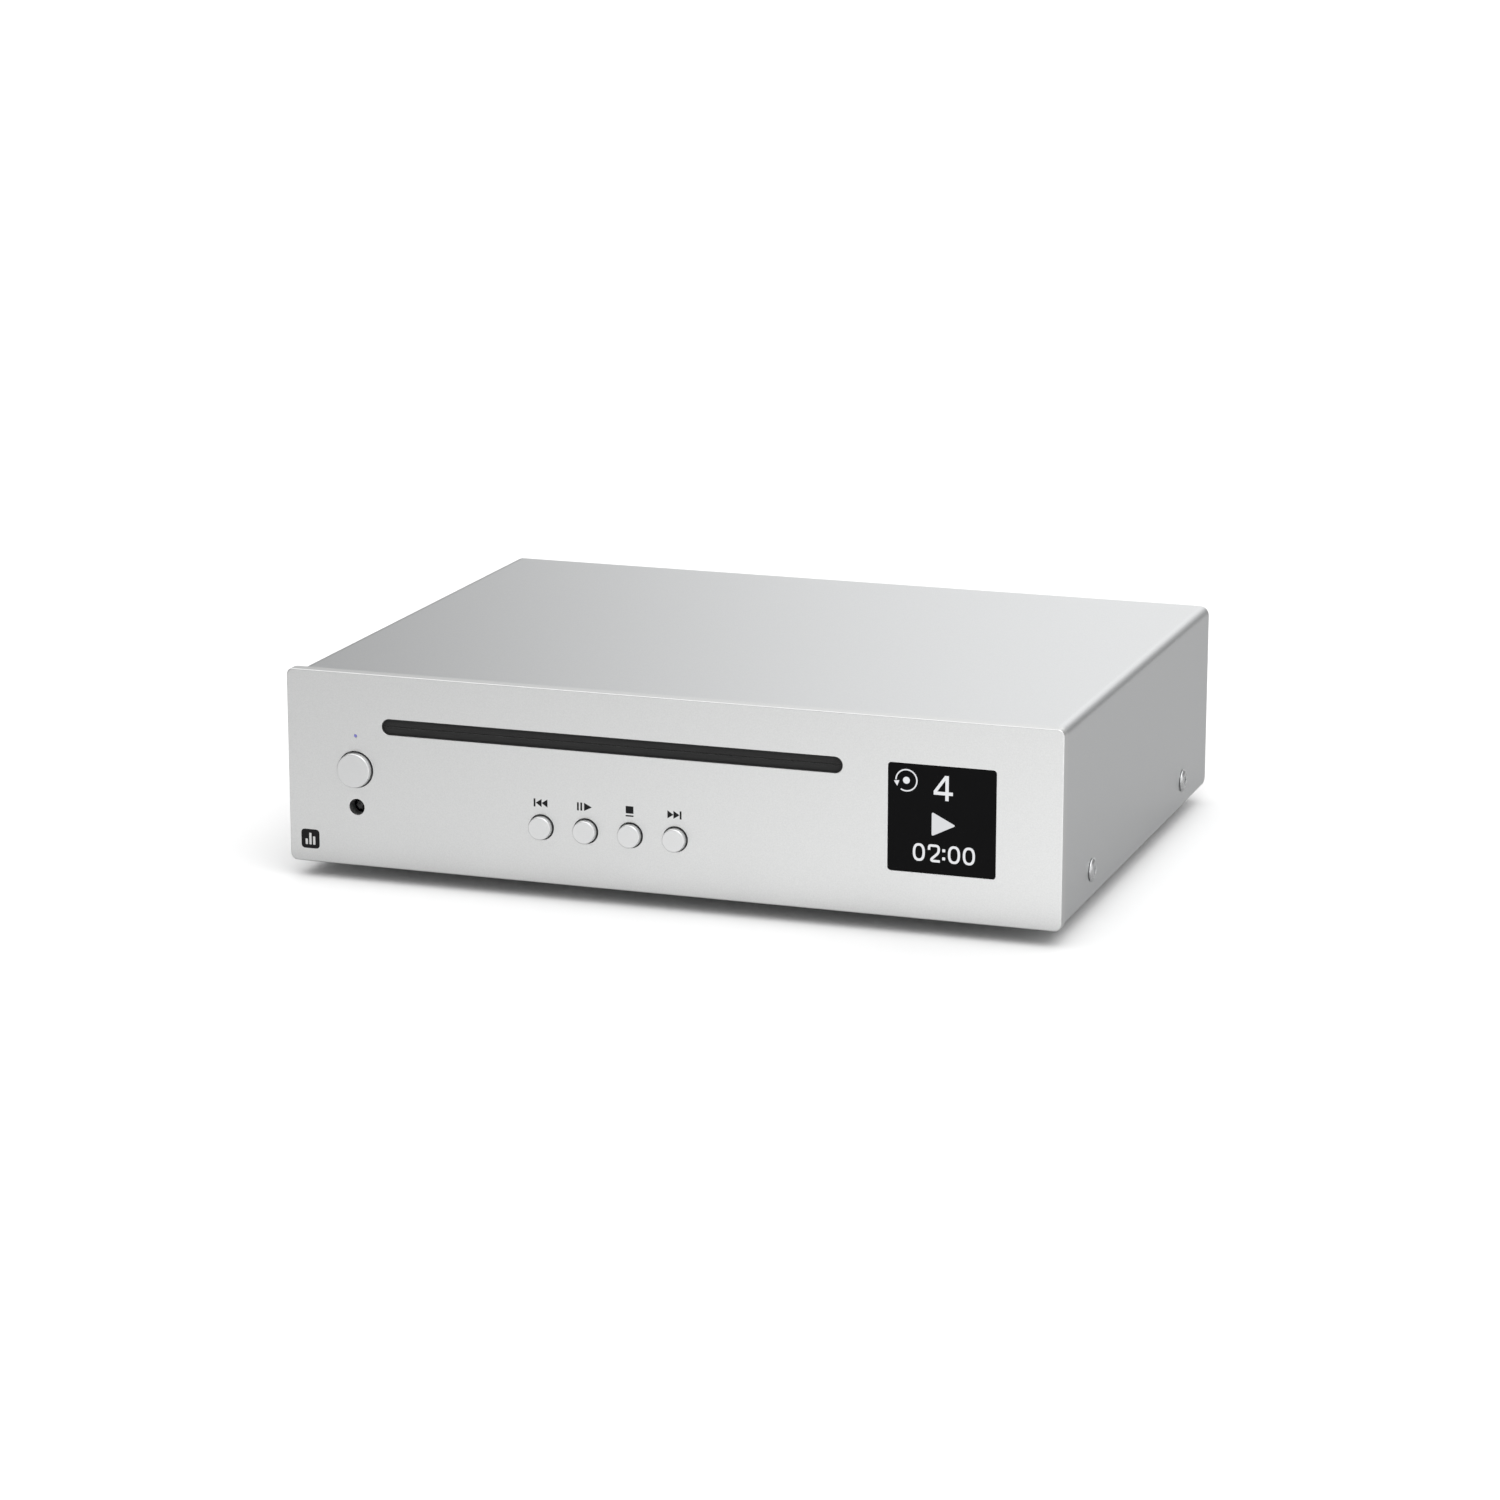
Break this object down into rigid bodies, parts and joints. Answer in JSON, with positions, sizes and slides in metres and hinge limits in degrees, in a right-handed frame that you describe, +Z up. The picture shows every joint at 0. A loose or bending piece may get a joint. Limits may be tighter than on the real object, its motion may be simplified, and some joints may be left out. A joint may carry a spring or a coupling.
{
  "type": "compact disc player",
  "caption": "Desktop slot-loading compact disc player in a folded metal casing, with push buttons, a square display window, rear sockets and a working clamp, traverse and loading train.",
  "frame": {"origin": "on the table top under the middle of the player's whole box, sockets and buttons included", "axes": "+X to the right of a person facing the front panel, +Y from the front panel to the rear sockets, +Z up"},
  "size_m": [0.206, 0.1634, 0.055],
  "materials": {
    "panel_aluminium": "fine satin, clear anodised, bright broken edges",
    "cover_aluminium": "fine satin, clear anodised",
    "button_aluminium": "satin turned face with a bright bevel",
    "sheet_steel": "zinc-plated sheet",
    "motor_steel": "drawn and plated can",
    "bright_steel": "bright nickel",
    "black_metal": "black anodised",
    "foot_rubber": "matt",
    "roller_rubber": "matt, ground",
    "display_glass": "polished smoked window",
    "lens_glass": "coated lens",
    "circuit_board": "solder resist",
    "light_guide": "clear guide, lit",
    "receiver_plastic": "dark infrared-clear moulding",
    "slot_felt": "dense black felt",
    "socket_gold": "gold plated",
    "black_plastic": "moulded",
    "white_plastic": "natural acetal"
  },
  "bodies": {
    "casing": {"front_panel": "panel_aluminium", "top_cover": "cover_aluminium", "base_tray": "sheet_steel", "rear_panel": "cover_aluminium", "foot_front_left": "foot_rubber", "foot_front_right": "foot_rubber", "foot_rear_left": "foot_rubber", "foot_rear_right": "foot_rubber", "cover_screw_front_left": "bright_steel", "cover_screw_front_right": "bright_steel", "cover_screw_rear_left": "bright_steel", "cover_screw_rear_right": "bright_steel", "display_window": "display_glass", "display_module": "circuit_board", "button_board": "circuit_board", "standby_board": "circuit_board", "power_light": "light_guide", "remote_receiver": "receiver_plastic", "slot_felt_upper": "slot_felt", "slot_felt_lower": "slot_felt", "line_out_left_socket": "socket_gold", "line_out_right_socket": "socket_gold", "coaxial_out_socket": "socket_gold", "optical_out_socket": "black_plastic", "power_inlet": "black_plastic", "main_board": "circuit_board", "servo_board": "circuit_board", "filter_capacitor_front": "black_plastic", "filter_capacitor_rear": "black_plastic", "heat_sink": "black_metal", "drive_frame": "sheet_steel", "drive_lid": "sheet_steel", "drive_bracket_left": "sheet_steel", "drive_bracket_right": "sheet_steel", "disc_guide": "white_plastic", "idler_pin": "bright_steel", "loading_motor": "motor_steel"},
    "standby_push": {"standby_button": "button_aluminium"},
    "previous_push": {"previous_button": "button_aluminium"},
    "play_push": {"play_button": "button_aluminium"},
    "stop_push": {"stop_button": "button_aluminium"},
    "next_push": {"next_button": "button_aluminium"},
    "roller": {"roller_shaft": "bright_steel", "feed_roller": "roller_rubber", "roller_gear": "white_plastic"},
    "idler": {"idler_gear": "white_plastic"},
    "pinion": {"motor_pinion": "white_plastic"},
    "traverse": {"traverse_plate": "sheet_steel", "spindle_motor": "motor_steel", "guide_rod_front": "bright_steel", "guide_rod_rear": "bright_steel", "sled_motor": "motor_steel"},
    "platter": {"turntable": "black_plastic"},
    "sled": {"optical_sled": "black_plastic"},
    "lens": {"objective_lens": "lens_glass"},
    "screw": {"lead_screw": "bright_steel"},
    "slider": {"lift_slider": "sheet_steel"},
    "arm": {"clamp_arm": "sheet_steel"},
    "puck": {"clamp_puck": "black_plastic"}
  },
  "joints": [
    {"name": "standby_press", "type": "slide", "parent": "casing", "child": "standby_push", "axis": [0, 1, 0], "range_m": [0, 0.0005], "stiffness_N_per_m": 2000},
    {"name": "previous_press", "type": "slide", "parent": "casing", "child": "previous_push", "axis": [0, 1, 0], "range_m": [0, 0.0005], "stiffness_N_per_m": 2000},
    {"name": "play_press", "type": "slide", "parent": "casing", "child": "play_push", "axis": [0, 1, 0], "range_m": [0, 0.0005], "stiffness_N_per_m": 2000},
    {"name": "stop_press", "type": "slide", "parent": "casing", "child": "stop_push", "axis": [0, 1, 0], "range_m": [0, 0.0005], "stiffness_N_per_m": 2000},
    {"name": "next_press", "type": "slide", "parent": "casing", "child": "next_push", "axis": [0, 1, 0], "range_m": [0, 0.0005], "stiffness_N_per_m": 2000},
    {"name": "roller_turn", "type": "hinge", "parent": "casing", "child": "roller", "pos_m": [-0.015, -0.06285, 0.03685], "axis": [1, 0, 0], "continuous": true},
    {"name": "idler_turn", "type": "hinge", "parent": "casing", "child": "idler", "pos_m": [0.056, -0.04691, 0.02765], "axis": [1, 0, 0], "continuous": true},
    {"name": "pinion_turn", "type": "hinge", "parent": "casing", "child": "pinion", "pos_m": [0.056, -0.03092, 0.0225], "axis": [1, 0, 0], "continuous": true},
    {"name": "traverse_lift", "type": "slide", "parent": "casing", "child": "traverse", "axis": [0, 0, 1], "range_m": [0, 0.005]},
    {"name": "slider_shift", "type": "slide", "parent": "casing", "child": "slider", "axis": [1, 0, 0], "range_m": [0, 0.0125]},
    {"name": "arm_lower", "type": "hinge", "parent": "casing", "child": "arm", "pos_m": [-0.015, 0.05815, 0.0508], "axis": [1, 0, 0], "range_deg": [0, 1.8]},
    {"name": "puck_turn", "type": "hinge", "parent": "arm", "child": "puck", "pos_m": [-0.015, 0.00215, 0.046], "axis": [0, 0, 1], "continuous": true},
    {"name": "disc_spin", "type": "hinge", "parent": "traverse", "child": "platter", "pos_m": [-0.015, 0.00215, 0.034], "axis": [0, 0, 1], "continuous": true},
    {"name": "sled_slide", "type": "slide", "parent": "traverse", "child": "sled", "axis": [-1, 0, 0], "range_m": [0, 0.035]},
    {"name": "screw_turn", "type": "hinge", "parent": "traverse", "child": "screw", "pos_m": [-0.056, 0.02765, 0.0262], "axis": [1, 0, 0], "range_deg": [0, 4201]},
    {"name": "lens_focus", "type": "slide", "parent": "sled", "child": "lens", "axis": [0, 0, 1], "range_m": [-0.0005, 0.0005], "stiffness_N_per_m": 150}
  ],
  "couplings": [
    {"joint": "idler_turn", "follows": "roller_turn", "ratio": -0.53333},
    {"joint": "pinion_turn", "follows": "roller_turn", "ratio": 1.3333},
    {"joint": "slider_shift", "follows": "traverse_lift", "ratio": 2.5},
    {"joint": "arm_lower", "follows": "traverse_lift", "rad_per_m": 6.25},
    {"joint": "screw_turn", "follows": "sled_slide", "rad_per_m": 2094.4}
  ]
}
